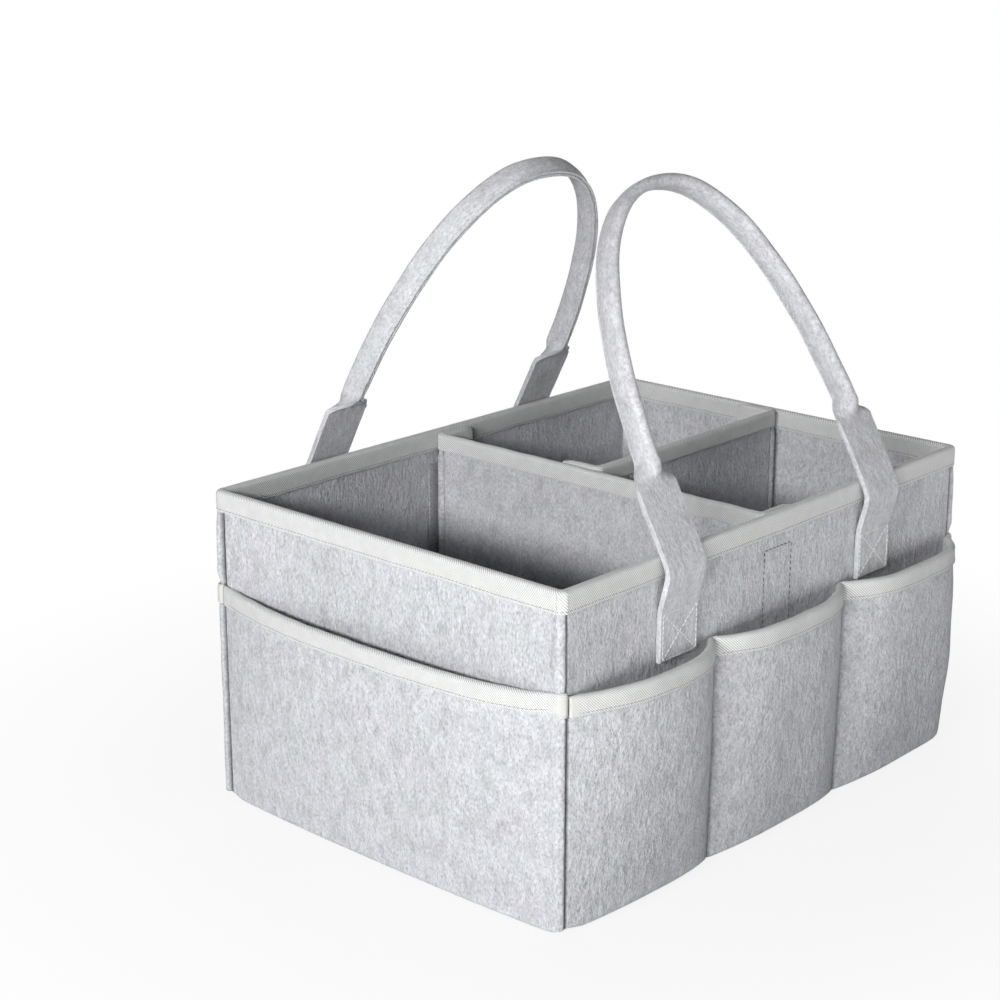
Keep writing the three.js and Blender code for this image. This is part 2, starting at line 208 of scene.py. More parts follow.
class Thread:
    """Many short stitches, made as one mesh."""

    def __init__(self, name):
        self.name, self.points, self.faces, self.count = name, [], [], 0
        turn = np.arange(6) * math.pi / 3
        ring = np.stack([0 * turn, np.cos(turn), np.sin(turn)], -1)
        rings = [ring * [0, k, k] + [x, 0, 0] for x, k in ((-0.4, 0.75), (0.0, 1.0), (0.4, 0.75))]
        self.shape = np.concatenate([[[-0.5, 0, 0]], *rings, [[0.5, 0, 0]]])
        self.shape_faces = []
        for s in range(6):
            n = (s + 1) % 6
            self.shape_faces.append((0, 1 + n, 1 + s))
            for r in (1, 7):
                self.shape_faces.append((r + s, r + n, r + 6 + n, r + 6 + s))
            self.shape_faces.append((13 + s, 13 + n, 19))

    def run(self, points, normals, pitch=3.2, length=2.5, width=0.5, height=0.5, lift=0.05):
        """Stitches along a line on a face."""
        far = run_lengths(points)
        number = max(int(far[-1] // pitch), 1)
        gap = far[-1] / number
        at = gap * (np.arange(number) + 0.5)

        def sample(values, where):
            return np.stack([np.interp(where, far, values[:, c]) for c in range(3)], -1)

        normal = unit(sample(normals, at))
        along = unit(sample(points, np.minimum(at + 0.6, far[-1])) - sample(points, np.maximum(at - 0.6, 0)))
        side = unit(np.cross(normal, along))
        size = self.shape * [length * gap / pitch, width / 2, height / 2]
        middle = sample(points, at) + normal * lift
        local = (size[None, :, 0:1] * along[:, None] + size[None, :, 1:2] * side[:, None]
                 + size[None, :, 2:3] * normal[:, None])
        self.points.append((middle[:, None] + local).reshape(-1, 3))
        for _ in range(number):
            self.faces.extend(tuple(v + self.count for v in face) for face in self.shape_faces)
            self.count += len(self.shape)

    def make(self, body, material):
        made = new_object(self.name, np.concatenate(self.points), self.faces)
        made.data.materials.append(material)
        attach(made, body)


# Materials

def fill(node, inputs):
    """Sets a node's plain inputs, and links the inputs that are given a socket."""
    for name, value in inputs.items():
        if isinstance(value, bpy.types.NodeSocket):
            node.id_data.links.new(value, node.inputs[name])
        else:
            node.inputs[name].default_value = value
    return node


def add_node(tree, kind, inputs):
    return fill(tree.nodes.new(kind), inputs)


def new_material(name):
    material = bpy.data.materials.new(name)
    material.use_nodes = True
    return material, material.node_tree


def finish_cloth(tree, inputs):
    fill(tree.nodes["Principled BSDF"], {"Metallic": 0.0, "Specular IOR Level": 0.2, **inputs})


def attribute(tree, name):
    node = tree.nodes.new("ShaderNodeAttribute")
    node.attribute_name = name
    return node.outputs


def grain_place(tree, scale, location=(0.0, 0.0, 0.0), turn=0.0):
    """The cloth's own coordinates, scaled, turned and moved."""
    inputs = {"Vector": attribute(tree, "grain")["Vector"], "Scale": scale, "Location": location,
              "Rotation": (0.0, 0.0, turn)}
    return add_node(tree, "ShaderNodeMapping", inputs).outputs["Vector"]


def grain_noise(tree, size, detail, rough, offset=0.0):
    """Noise whose lumps are size = (across, along, through) in millimetres."""
    place = grain_place(tree, [METRE / s for s in size], (offset, offset * 0.7, offset * 1.3))
    inputs = {"Vector": place, "Scale": 1.0, "Detail": detail, "Roughness": rough}
    return add_node(tree, "ShaderNodeTexNoise", inputs).outputs["Fac"]


def ramp(tree, value, *stops):
    """Colours or grey levels by value: each stop is (value, level)."""
    node = add_node(tree, "ShaderNodeValToRGB", {"Fac": value})
    elements = node.color_ramp.elements
    elements[0].position = stops[0][0]
    elements[1].position = stops[-1][0]
    for position, _ in stops[1:-1]:
        elements.new(position)
    for element, (_, level) in zip(elements, stops):
        element.color = (*level, 1.0) if hasattr(level, "__len__") else (level, level, level, 1.0)
    return node.outputs["Color"]


def mixed(tree, share, first, second, kind="MIX"):
    node = tree.nodes.new("ShaderNodeMix")
    node.data_type = "RGBA"
    node.blend_type = kind
    return fill(node, {"Factor": share, 6: first, 7: second}).outputs[2]


def multiplied(tree, colour, *shades):
    for shade in shades:
        colour = mixed(tree, 1.0, colour, shade, "MULTIPLY")
    return colour


def with_seam_shade_or_pressed(tree, colour, target):
    """The colour, which turns to the target by the sewn attribute: on felt this is painted shade in seams and
    creases, on tape the plain colour of an end pressed flat.
    """
    return mixed(tree, attribute(tree, "sewn")["Fac"], colour, (*target, 1.0))


def bumped(tree, *heights):
    """A normal with bumps one on another: (socket, distance in millimetres, strength)."""
    inputs = {}
    for socket, distance, strength in heights:
        inputs.update({"Height": socket, "Distance": distance * MM, "Strength": strength})
        inputs["Normal"] = add_node(tree, "ShaderNodeBump", inputs).outputs["Normal"]
    return inputs["Normal"]


def felt_material(name, pale, dark, streak, nap):
    """Heathered needle felt: pale wool with short darker flecks, and painted shade where it turns into a seam
    or crease.
    """
    material, tree = new_material(name)
    tint = grain_noise(tree, (16.0, 30.0, 16.0), 2.0, 0.5, 1.7)
    cloud = grain_noise(tree, (7.0, 13.0, 7.0), 4.0, 0.6)
    fleck = grain_noise(tree, (0.9, 0.9 * streak, 0.9), 3.0, 0.6, 3.1)
    hair = grain_noise(tree, (0.4, 0.6 * streak, 0.4), 2.0, 0.6, 7.7)
    vein = grain_noise(tree, (2.0, 2.4 * streak, 2.0), 3.0, 0.55, 9.4)
    fuzz = grain_noise(tree, (0.5, 1.2, 0.5), 3.0, 0.6, 12.3)
    lumps = grain_noise(tree, (3.6, 5.6, 3.6), 3.5, 0.6, 5.2)
    between = [0.45 * d + 0.55 * p for d, p in zip(dark, pale)]
    bright = [1.15 * p for p in pale]
    colour = multiplied(
        tree,
        ramp(tree, fleck, (0.27, dark), (0.38, between), (0.52, pale), (0.7, bright)),
        ramp(tree, cloud, (0.28, 0.80), (0.5, 0.97), (0.72, 1.06)),
        ramp(tree, hair, (0.28, 0.86), (0.5, 0.98), (0.72, 1.08)),
        ramp(tree, vein, (0.3, 0.9), (0.5, 0.98), (0.7, 1.06)),
        ramp(tree, tint, (0.35, (0.985, 1.0, 1.0)), (0.65, (1.0, 0.985, 1.005))),
    )
    finish_cloth(tree, {
        # Painted seam shade: the colour goes to near black by the sewn attribute.
        "Base Color": with_seam_shade_or_pressed(tree, colour, (0.07, 0.07, 0.075)),
        "Roughness": 0.95,
        "Sheen Weight": 0.12,
        "Sheen Roughness": 0.6,
        "Normal": bumped(tree, (lumps, 1.6 * nap, 0.8), (vein, 0.7 * nap, 0.8), (fuzz, 0.3, 0.7)),
    })
    return material


def tape_material(name, pale, dark, plain):
    """Twill binding tape: fine slanting ribs, pressed flat where an end is turned under."""
    material, tree = new_material(name)
    place = grain_place(tree, [METRE] * 3, turn=math.radians(-38))
    inputs = {"Vector": place, "Scale": 0.31, "Distortion": 0.35, "Detail": 1.0}
    wave = add_node(tree, "ShaderNodeTexWave", inputs)
    wave.wave_type = "BANDS"
    wave.bands_direction = "X"
    ribs = ramp(tree, wave.outputs["Fac"], (0.08, dark), (0.5, pale))
    cloud = grain_noise(tree, (7.0, 7.0, 7.0), 3.0, 0.6)
    clouds = ramp(tree, cloud, (0.3, 0.94), (0.7, 1.03))
    finish_cloth(tree, {
        "Base Color": multiplied(tree, with_seam_shade_or_pressed(tree, ribs, plain), clouds),
        "Roughness": 0.82,
        "Sheen Weight": 0.08,
        "Sheen Roughness": 0.5,
        "Normal": bumped(tree, (wave.outputs["Fac"], 0.25, 0.5)),
    })
    return material


def strip_material(name, pale, dark):
    """Hook-and-loop strip: a dense field of tiny tufts."""
    material, tree = new_material(name)
    place = grain_place(tree, [METRE] * 3)
    cells = add_node(tree, "ShaderNodeTexVoronoi", {"Vector": place, "Scale": 0.9}).outputs["Distance"]
    finish_cloth(tree, {
        "Base Color": ramp(tree, cells, (0.1, pale), (0.7, dark)),
        "Roughness": 0.75,
        "Normal": bumped(tree, (cells, 0.4, 0.6)),
    })
    return material


def plain_material(name, pale, dark, size, roughness):
    """A nearly even surface with faint clouding, for thread and board."""
    material, tree = new_material(name)
    place = tree.nodes.new("ShaderNodeTexCoord").outputs["Object"]
    inputs = {"Vector": place, "Scale": METRE / size, "Detail": 3.0}
    noise = add_node(tree, "ShaderNodeTexNoise", inputs).outputs["Fac"]
    finish_cloth(tree, {
        "Base Color": ramp(tree, noise, (0.35, dark), (0.65, pale)),
        "Roughness": roughness,
        "Normal": bumped(tree, (noise, 0.15, 0.3)),
    })
    return material


felt = felt_material("felt", (0.60, 0.607, 0.63), (0.34, 0.345, 0.365), 2.2, 1.0)
strap_felt = felt_material("strap_felt", (0.60, 0.607, 0.625), (0.42, 0.425, 0.44), 2.4, 0.4)
tape = tape_material("tape", (0.76, 0.767, 0.76), (0.39, 0.395, 0.39), (0.64, 0.64, 0.62))
strip = strip_material("strip", (0.50, 0.50, 0.515), (0.30, 0.30, 0.32))
board = plain_material("board", (0.78, 0.77, 0.73), (0.7, 0.69, 0.65), 30.0, 0.55)
thread = plain_material("thread", (0.30, 0.305, 0.30), (0.2, 0.205, 0.2), 2.0, 0.6)
pale_thread = plain_material("pale_thread", (0.40, 0.405, 0.42), (0.3, 0.305, 0.32), 2.0, 0.6)
white_thread = plain_material("white_thread", (0.82, 0.83, 0.84), (0.72, 0.73, 0.74), 2.0, 0.55)
grey_thread = plain_material("grey_thread", (0.12, 0.12, 0.13), (0.08, 0.08, 0.09), 2.0, 0.6)


def dress(obj, body, material, nodes=()):
    obj.data.materials.append(material)
    if body:
        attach(obj, body)
    if nodes:
        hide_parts(*nodes)


# Walls

class Path:
    """A line round the box seen from above, with the outside on its right.

    A straight part is (x0, y0, x1, y1), and a bend is (middle x, middle y, radius, first, last angle).
    """

    def __init__(self, *parts):
        self.parts, self.starts, self.length = parts, [], 0.0
        for part in parts:
            self.starts.append(self.length)
            if len(part) == 4:
                self.length += math.hypot(part[2] - part[0], part[3] - part[1])
            else:
                self.length += part[2] * math.radians(part[4] - part[3])

    def at(self, s, out):
        """The place at a length along the line, and so far outside it."""
        s, out = np.broadcast_arrays(np.asarray(s, float), np.asarray(out, float))
        x, y = np.zeros(s.shape), np.zeros(s.shape)
        ends = self.starts[1:] + [math.inf]
        for number, (part, start, end) in enumerate(zip(self.parts, self.starts, ends)):
            here = (s < end) & ((s >= start) | (number == 0))
            far, off = s[here] - start, out[here]
            if len(part) == 4:
                x0, y0, x1, y1 = part
                size = math.hypot(x1 - x0, y1 - y0)
                ux, uy = (x1 - x0) / size, (y1 - y0) / size
                x[here], y[here] = x0 + ux * far + uy * off, y0 + uy * far - ux * off
            else:
                cx, cy, r, first, _ = part
                angle = math.radians(first) + far / r
                x[here], y[here] = cx + (r + off) * np.cos(angle), cy + (r + off) * np.sin(angle)
        return x, y


CORNER = 3.5
INX, INY = HALF_X - CORNER, HALF_Y - CORNER
CREASE_GAP = 0.9
FRONT_END = INX - CREASE_GAP
BACK_SEAM = INY - 1.2
PATHS = {
    "front": Path((-FRONT_END, -HALF_Y, FRONT_END, -HALF_Y)),
    "right_end": Path((INX, -INY, CORNER, 270, 360), (HALF_X, -INY, HALF_X, BACK_SEAM - CREASE_GAP)),
    "back": Path((HALF_X, BACK_SEAM, HALF_X, INY), (INX, INY, CORNER, 0, 90), (INX, HALF_Y, -INX, HALF_Y),
                 (-INX, INY, CORNER, 90, 180), (-HALF_X, INY, -HALF_X, BACK_SEAM)),
    "left_end": Path((-HALF_X, BACK_SEAM - CREASE_GAP, -HALF_X, -INY), (-INX, -INY, CORNER, 180, 270)),
}
LIP_LENGTH = 1.8  # over which a wall's end turns in at a corner seam
FLAT_LIP_LENGTH = 0.7  # the same for a wall that doesn't reach round the corner
LIP_DEPTH = 2.5
SHORT_PART = 2.0  # a path whose end part is shorter than this wraps round the corner
PUFF_PLACE = 3.6  # how far from a corner seam the felt swells most
PUFF_WIDTH = 3.2
WALL_PUFF = 1.9
POCKET_PUFF = 0.9


def rolled_in(path, s):
    """How far a sheet's end turns in at a corner seam."""
    lip = FLAT_LIP_LENGTH if len(path.parts) == 1 else LIP_LENGTH
    near = np.clip(1 - np.minimum(s, path.length - s) / lip, 0, 1)
    return LIP_DEPTH * (1 - np.sqrt(np.maximum(1 - near * near, 0)))


def crease_shade(path, s):
    """Painted shade where the felt turns in at a corner seam: how dark its colour is made there."""
    return 0.9 * (rolled_in(path, s) / LIP_DEPTH) ** 0.6


def puffed(path, s, z, height):
    """How far the felt swells beside a corner seam, where the sheet wraps round the corner."""
    total = np.zeros(np.broadcast(s, z).shape)
    for part, far in ((path.parts[0], s), (path.parts[-1], path.length - s)):
        if len(part) == 5 or math.hypot(part[2] - part[0], part[3] - part[1]) < SHORT_PART:
            size = height * (1 + ripple(z, 0 * s, "corner"))
            total = total + size * bell(far - PUFF_PLACE, PUFF_WIDTH)
    return total


def bends(path):
    """Extra places along a path, close together at its ends and where it turns a corner."""
    ends = np.array([0.1, 0.2, 0.35, 0.5, 0.7, 1.2, 1.8, 2.6, 4.0])
    extra = [*ends, *(path.length - ends)]
    for part, start in zip(path.parts, path.starts):
        if len(part) == 5:
            extra.extend(start + np.linspace(0, 1, 9) * part[2] * math.pi / 2)
    return extra


def build_walls():
    for number, (name, path) in enumerate(PATHS.items()):
        def place(s, z, path=path, number=number):
            fade = np.clip(np.minimum(s, path.length - s) / 30, 0, 1)
            above = np.clip((z - MOUTH - 0.5) / 3, 0, 1)
            below = np.clip((RIM_TOP - 8 - z) / 10, 0.25, 1)
            swell = puffed(path, s, z, WALL_PUFF) * below * above
            out = ripple(s, z, "wall", number) * fade - INSET - rolled_in(path, s) + swell
            x, y = path.at(s, out)
            return np.stack([x, y, z + 0 * s], -1)

        along = edged(0, path.length, int(path.length / 6), 0.05, bends(path))
        up = edged(BASE_TOP, WALL_TOP, 32, 1.2)
        # The sewn attribute carries painted shade into the corner creases of each wall.
        wall = Sheet(f"{name}_wall_felt", place, along, up, CLOTH, outer=True,
                     sewn=lambda s, z, path=path: crease_shade(path, s))
        dress(wall.object, "box", felt, [f"{name}_wall"])


SEAM_INSIDE = 2.65  # from a wall's outer face in to the seam allowance
SEAM_REACH = (-5.2, 3.4)  # from the crease to both sides of it
SEAM_HEIGHTS = (3, 178)
SEAM_CLOTH = 0.5


def build_corner_seams():
    """The seam allowance behind the crease at each corner."""
    spots = ((-INX + CREASE_GAP / 2, -HALF_Y, 1, 0), (INX - CREASE_GAP / 2, -HALF_Y, 1, 0),
             (HALF_X, BACK_SEAM - CREASE_GAP / 2, 0, 1), (-HALF_X, BACK_SEAM - CREASE_GAP / 2, 0, -1))
    for number, (x, y, ux, uy) in enumerate(spots):
        def place(a, z, x=x, y=y, ux=ux, uy=uy):
            return np.stack([x + ux * a - uy * SEAM_INSIDE, y + uy * a + ux * SEAM_INSIDE, z], -1)

        along, up = edged(*SEAM_REACH, 5, 0.2), edged(*SEAM_HEIGHTS, 12, 0.2)
        seam = Sheet(f"corner_seam_{number + 1}", place, along, up, SEAM_CLOTH)
        dress(seam.object, "box", felt)


BASE_CORNER = 2.4


def rounded_plan(half_x, half_y, x, y):
    """Moves the corners of a rectangle of points in to a radius."""
    r = BASE_CORNER
    dx = np.clip((np.abs(x) - half_x + r) / r, 0, 1)
    dy = np.clip((np.abs(y) - half_y + r) / r, 0, 1)
    px = np.where(dx > 0, np.sign(x) * (half_x - r + r * dx * np.sqrt(1 - dy * dy / 2)), x)
    py = np.where(dy > 0, np.sign(y) * (half_y - r + r * dy * np.sqrt(1 - dx * dx / 2)), y)
    return px, py


def build_base():
    for name, node, half_x, half_y, foot, top in (
        ("base_panel_felt", "base_panel", HALF_X - 1.4, HALF_Y - 1.4, 0.0, BASE_TOP),
        ("floor_lining_felt", "floor_lining", HALF_X - 3.3, HALF_Y - 3.3, 5.6, 8.5),
    ):
        def place(x, y, half_x=half_x, half_y=half_y, foot=foot, top=top):
            px, py = rounded_plan(half_x, half_y, x, y)
            return np.stack([px, py, (foot + top) / 2 + ripple(x, y, "base")], -1)

        along = edged(-half_x, half_x, 60, 1.3, [half_x - 4, half_x - 2, 4 - half_x, 2 - half_x])
        up = edged(-half_y, half_y, 44, 1.3, [half_y - 4, half_y - 2, 4 - half_y, 2 - half_y])
        panel = Sheet(name, place, along, up, top - foot - 0.3)
        dress(panel.object, "box", felt, [node])
    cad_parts["base_board"].data.materials.clear()
    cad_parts["base_board"].data.materials.append(board)


# Rim binding

RIM_DEPTH = 12.0
RIM_ROLL = 1.9
RIM_SEAM = 1.6  # from an edge of the tape to its row of stitches
RIM_FLAT = FELT + 2 * TAPE_OFF - 2 * RIM_ROLL
RIM_WIDTH = 2 * (RIM_DEPTH - TAPE / 2 - RIM_ROLL) + RIM_ROLL * math.pi + FELT + 2 * TAPE_OFF - 2 * RIM_ROLL
RIM_COUNT_X, RIM_COUNT_Y, RIM_COUNT_CORNER = 74, 54, 9
RIM_COUNT = 2 * (RIM_COUNT_X + RIM_COUNT_Y) + 4 * RIM_COUNT_CORNER


def ring_points(half_x, half_y, radius):
    """Places round a rounded rectangle, anticlockwise from the left end of the front."""
    def side(p, q, n):
        return np.stack([np.linspace(a, b, n, endpoint=False) for a, b in zip(p, q)], -1)

    def corner(cx, cy, first):
        angle = np.radians(first + np.linspace(0, 90, RIM_COUNT_CORNER, endpoint=False))
        return np.stack([cx + radius * np.cos(angle), cy + radius * np.sin(angle)], -1)

    ix, iy = half_x - radius, half_y - radius
    return np.concatenate([
        side((-ix, -half_y), (ix, -half_y), RIM_COUNT_X), corner(ix, -iy, 270),
        side((half_x, -iy), (half_x, iy), RIM_COUNT_Y), corner(ix, iy, 0),
        side((ix, half_y), (-ix, half_y), RIM_COUNT_X), corner(-ix, iy, 90),
        side((-half_x, iy), (-half_x, -iy), RIM_COUNT_Y), corner(-ix, -iy, 180),
    ])


def rim_section(t):
    """The tape's middle line, from its outer edge over the rim to its inner edge: (outward, height)."""
    foot, bend = RIM_TOP - RIM_DEPTH, RIM_TOP - TAPE / 2 - RIM_ROLL
    skirt, arc = bend - foot, RIM_ROLL * math.pi / 2
    marks = np.cumsum([skirt, arc, RIM_FLAT, arc])
    angle = np.clip((t - marks[0]) / RIM_ROLL, 0, math.pi / 2)
    out = np.where(t > marks[0], TAPE_OFF - RIM_ROLL + RIM_ROLL * np.cos(angle), TAPE_OFF)
    z = np.where(t > marks[0], bend + RIM_ROLL * np.sin(angle), foot + t)
    out = np.where(t > marks[1], TAPE_OFF - RIM_ROLL - (t - marks[1]), out)
    angle = np.clip((t - marks[2]) / RIM_ROLL, 0, math.pi / 2)
    out = np.where(t > marks[2], -FELT - TAPE_OFF + RIM_ROLL - RIM_ROLL * np.sin(angle), out)
    z = np.where(t > marks[2], bend + RIM_ROLL * np.cos(angle), z)
    z = np.where(t > marks[3], bend - (t - marks[3]), z)
    return out, z


def rim_ring(out):
    radius = max(4.0 + 0.8 * out, 1.0)
    points = ring_points(HALF_X + out, HALF_Y + out, radius)
    return np.concatenate([points, points[:1]])


def build_rim():
    def place(s, t):
        out, z = rim_section(t)
        out = np.round(out, 4)
        spots = np.zeros((*s.shape, 2))
        station = s % RIM_COUNT
        low = np.floor(station).astype(int)
        part = (station - low)[..., None]
        for level in np.unique(out):
            here = out == level
            line = rim_ring(round(float(level), 4))
            spots[here] = line[low[here]] * (1 - part[here]) + line[low[here] + 1] * part[here]
        x, y = spots[..., 0], spots[..., 1]
        wobble = ripple(x, y, "rim") + ripple(x, y, "rim_fine")
        skirt = np.clip(np.abs(t - RIM_WIDTH / 2) / (RIM_WIDTH / 2), 0, 1)
        return np.stack([x, y, z + wobble * skirt], -1)

    def grain(s, t):
        return run_lengths(rim_ring(0.0))[np.round(s).astype(int)], t

    along = (np.arange(RIM_COUNT, dtype=float), np.ones(RIM_COUNT))
    rim = Sheet("rim_tape", place, along, edged(0, RIM_WIDTH, 40, 0.45), TAPE, loop=True, grain=grain)
    dress(rim.object, "box", tape, ["rim_binding"])
    seam = Thread("rim_stitches")
    s = np.arange(0, RIM_COUNT + 0.01, 0.5)
    for t in (RIM_SEAM, RIM_WIDTH - RIM_SEAM):
        seam.run(*rim.on(s, 0 * s + t), pitch=2.6, length=2.1, width=0.38, height=0.34)
    seam.make("box", thread)


# Edge tapes: t runs 0 to 1 up the outer skirt, 1 to 2 over the top and 2 to 3 down the inner skirt

EDGE_BEND = 2.2  # from the crest of an edge tape down to where it starts to turn over
EDGE_RISE = 1.75
TAPE_STEPS = np.concatenate([
    np.linspace(0.05, 1, 8),
    1 + np.linspace(0, 1, 13)[1:],
    2 + np.linspace(0, 0.95, 8)[1:],
])


def tape_rows(steps=TAPE_STEPS, first=(0, 0.015), last=(2.985, 3.0)):
    """Places across an edge tape, with the share of the thickness at each."""
    share = np.concatenate([[0, 0.7], np.ones(len(steps)), [0.7, 0]])
    return np.concatenate([first, steps, last]), share


def tape_turn(t):
    """How far the tape has turned over at t."""
    return np.clip(t - 1, 0, 1) * math.pi


def tape_height(t, foot, bend):
    z = np.where(t < 1, foot + t * (bend - foot), bend - (t - 2) * (bend - foot))
    return np.where((t >= 1) & (t <= 2), bend + EDGE_RISE * np.sin(tape_turn(t)), z)


def tape_grain(s, t):
    return s, t * 9


# Pockets

SEAM = HALF_X / 3  # from a long wall's middle to a seam between two pockets
SEAM_OUT = 2.6  # how far a panel stands out at a seam between two pockets
EDGE_OUT = 0.9  # the same at a corner
SEAM_GROOVE = 2.0
PANEL_TOP = MOUTH - 1.4
FOOT_LEVEL = 6.0  # height at which a panel's foot takes its radius
FOOT_ROLL = (0.8, 6.5)  # smallest and largest radius of a panel's foot
FOOT_LIFT = 2.2  # how far a panel's foot rises at a corner
FOOT_LIFT_WIDTH = 7.0
UNDER_REACH = 1.2  # how far a panel reaches in under the box
POCKET_TAPE_DEPTH = 10.4
TAPE_END = 8.3  # length of a turned tape end
TURNED = 4.4  # length of it that is pressed flat
END_CLOTH = 0.4


class Wall:
    """One wall's pocket panel: where its pockets are along the path, and how they stand out.

    A pocket is (first, last, peak, power on the left, on the right, on the right at the mouth,
    stand-off at the left seam, at the right seam).
    """

    def __init__(self, name, pockets):
        self.name, self.path, self.pockets = name, PATHS[name], pockets
        self.flat_length = self.path.length + 9 * len(pockets)

    def out(self, s, z):
        """How far the panel's outer face stands off the wall's outer face."""
        total = np.full(np.broadcast(s, z).shape, EDGE_OUT)
        up = np.clip(z / MOUTH, 0, 1)
        rise = 0.40 + 0.60 * (1 - (1 - up) ** 2)
        for first, last, peak, left, right, mouth_right, low_left, low_right in self.pockets:
            u = np.clip((s - first) / (last - first) * 2 - 1, -1, 1)
            right = right + (mouth_right - right) * np.clip((z - 60) / 60, 0, 1)
            base = low_left + (low_right - low_left) * (u + 1) / 2
            shape = 1 - np.abs(u) ** np.where(u < 0, left, right)
            bow = base + (peak - (low_left + low_right) / 2) * shape * rise
            sewn = 0
            for edge, low in ((first, low_left), (last, low_right)):
                sewn = sewn + SEAM_GROOVE * (low - EDGE_OUT) / (SEAM_OUT - EDGE_OUT) * bell(s - edge, 1.5)
            total = np.where((s >= first) & (s <= last), bow - sewn, total)
        return total

    def lift(self, s):
        """The left pocket's mouth climbs a little into the near corner."""
        return 2.4 * bell(self.path.length - s, 20) if self.name == "left_end" else 0 * s

    def thick(self, s, z):
        return np.clip(self.out(s, z) - 0.25, 0.6, CLOTH)

    def marks(self):
        extra = list(bends(self.path))
        for first, last, *_ in self.pockets:
            for edge, way in ((first, 1), (last, -1)):
                extra.extend(edge + way * np.array([0, 0.6, 1.2, 1.9, 2.8, 4.2, 6, 8.5, 11.5, 15]))
        return extra


FRONT_SEAMS = [0.0, FRONT_END - SEAM, FRONT_END + SEAM, 2 * FRONT_END]
BACK_START = INY - BACK_SEAM + CORNER * math.pi / 2
BACK_SEAMS = [BACK_START, BACK_START + INX - SEAM, BACK_START + INX + SEAM, BACK_START + 2 * INX]
RIGHT_START = CORNER * math.pi / 2
LEFT_END = BACK_SEAM - CREASE_GAP + INY
WALLS = [
    Wall("front", [
        (FRONT_SEAMS[0], FRONT_SEAMS[1], 17.0, 1.9, 4.2, 3.3, EDGE_OUT, SEAM_OUT),
        (FRONT_SEAMS[1], FRONT_SEAMS[2], 17.2, 3.2, 4.2, 3.2, SEAM_OUT, SEAM_OUT),
        (FRONT_SEAMS[2], FRONT_SEAMS[3], 18.5, 3.0, 10.0, 4.6, SEAM_OUT, EDGE_OUT),
    ]),
    Wall("right_end", [(RIGHT_START, PATHS["right_end"].length, 15.3, 2.8, 2.8, 2.8, EDGE_OUT, EDGE_OUT)]),
    Wall("back", [
        (BACK_SEAMS[0], BACK_SEAMS[1], 17.6, 2.3, 4.2, 4.2, EDGE_OUT, SEAM_OUT),
        (BACK_SEAMS[1], BACK_SEAMS[2], 17.2, 3.2, 4.2, 4.2, SEAM_OUT, SEAM_OUT),
        (BACK_SEAMS[2], BACK_SEAMS[3], 17.8, 3.0, 4.0, 3.0, SEAM_OUT, EDGE_OUT),
    ]),
    Wall("left_end", [(0.0, LEFT_END, 15.3, 2.8, 2.8, 2.8, EDGE_OUT, EDGE_OUT)]),
]


def build_pocket(wall, number):
    """A panel: t runs up from 0 to 1, down to -1 round the foot and to -2 in under the box."""
    path = wall.path

    def roll(s):
        return np.clip(0.75 * wall.out(s, FOOT_LEVEL + 0 * s), *FOOT_ROLL)

    def place(s, t):
        corner_lift = FOOT_LIFT * bell(np.minimum(s, path.length - s), FOOT_LIFT_WIDTH)
        radius = roll(s)
        start = corner_lift + radius
        z = np.where(t > 0, start + t * (PANEL_TOP + wall.lift(s) - start), start)
        swell = ripple(s, z, "pocket", number) * np.clip(wall.out(s, z) / 12, 0, 1)
        edge = wall.out(s, z) + swell * np.clip(z / 20, 0, 1) - rolled_in(path, s)
        edge = edge + puffed(path, s, z, POCKET_PUFF) * np.clip((MOUTH - 6 - z) / 8, 0.2, 1)
        angle = np.clip(1 + t, 0, 1) * math.pi / 2
        out = np.where(t < 0, edge - radius + radius * np.sin(angle), edge)
        z = np.where(t < 0, start - radius * np.cos(angle), z)
        out = np.where(t < -1, edge - radius - (-1 - t) * (edge - radius + UNDER_REACH), out)
        x, y = path.at(s, out)
        return np.stack([x, y, z], -1)

    def thickness(s, t):
        full = wall.thick(s, np.maximum(np.clip(t, 0, 1) * PANEL_TOP, FOOT_LEVEL))
        return np.where(t < 0, np.minimum(full, 0.9 * roll(s) + 0.4), full)

    def grain(s, t):
        return s, np.where(t > 0, t * PANEL_TOP, 8 * t)

    def sewn(s, t):
        """Painted shade in the corner creases and along the seams between two pockets, with a broader painted
        shade on the flank to the left of each seam.
        """
        seam_shade_or_pressed = crease_shade(path, s)
        for first, *_ in wall.pockets[1:]:
            seam_shade_or_pressed = seam_shade_or_pressed + 0.8 * bell(s - first, 1.1)
            seam_shade_or_pressed = seam_shade_or_pressed + 0.3 * bell(s - first + 3.4, 3.6)
        return np.clip(seam_shade_or_pressed, 0, 1)

    along = edged(0, path.length, int(path.length / 4.5), 0.05, wall.marks())
    foot = np.concatenate([[-2, -1.6], -1 + np.linspace(0, 1, 8)])
    body = np.linspace(0, 0.985, 30)[1:]
    rim = 0.985 + 0.015 * np.array([0.35, 0.7, 0.92, 1.0])
    share = np.concatenate([[0.0], np.ones(len(foot) + len(body) - 1), [0.93, 0.72, 0.4, 0.0]])
    up = (np.concatenate([foot, body, rim]), share)
    panel = Sheet(f"{wall.name}_pocket_felt", place, along, up, thickness, outer=True, grain=grain, sewn=sewn)
    dress(panel.object, "box", felt, [f"{wall.name}_pocket"])


